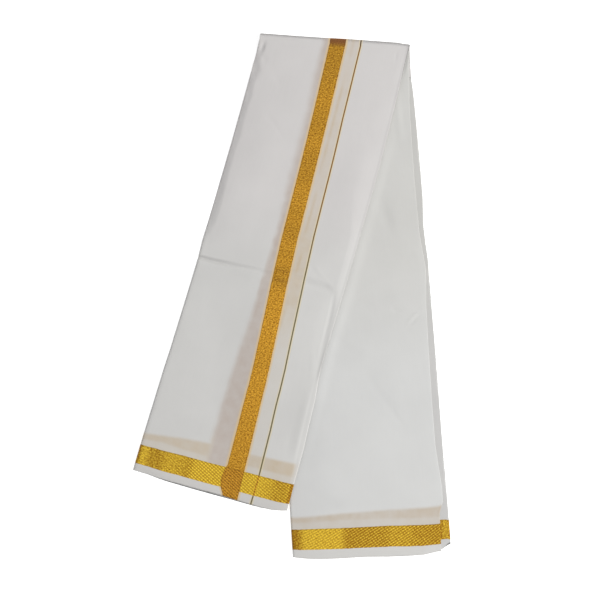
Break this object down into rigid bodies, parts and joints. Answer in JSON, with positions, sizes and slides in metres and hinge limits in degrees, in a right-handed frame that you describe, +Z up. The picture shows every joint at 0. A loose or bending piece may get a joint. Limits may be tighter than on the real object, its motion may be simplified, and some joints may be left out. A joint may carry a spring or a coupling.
{
  "type": "folded dhoti cloth",
  "caption": "Fine white cotton dhoti with woven gold borders, folded lengthways into a flat strip and turned over once so its legs lie in a narrow V.",
  "frame": {"origin": "on the surface it lies on, under the middle of the folded cloth's outline", "axes": "+Z up from the surface, +Y from the legs' ends towards the fold where the strip turns over, +X towards the open edges of the strip"},
  "size_m": [0.4141, 0.6832, 0.0087],
  "materials": {
    "band_cloth": "fine plain-woven white cotton with woven gold zari borders, pressed, matt with a metallic glint in the borders",
    "plain_cloth": "fine plain-woven white cotton with a gold zari border at its end, pressed, matt",
    "inner_cloth": "fine plain-woven white cotton, folded edges, matt",
    "side_cloth": "fine plain-woven white cotton with a gold zari border at its end, folded edge, matt"
  },
  "bodies": {
    "root": {"band_stretch": "band_cloth", "plain_stretch": "plain_cloth", "inner_layers": "inner_cloth", "side_stretch": "side_cloth"}
  },
  "joints": []
}
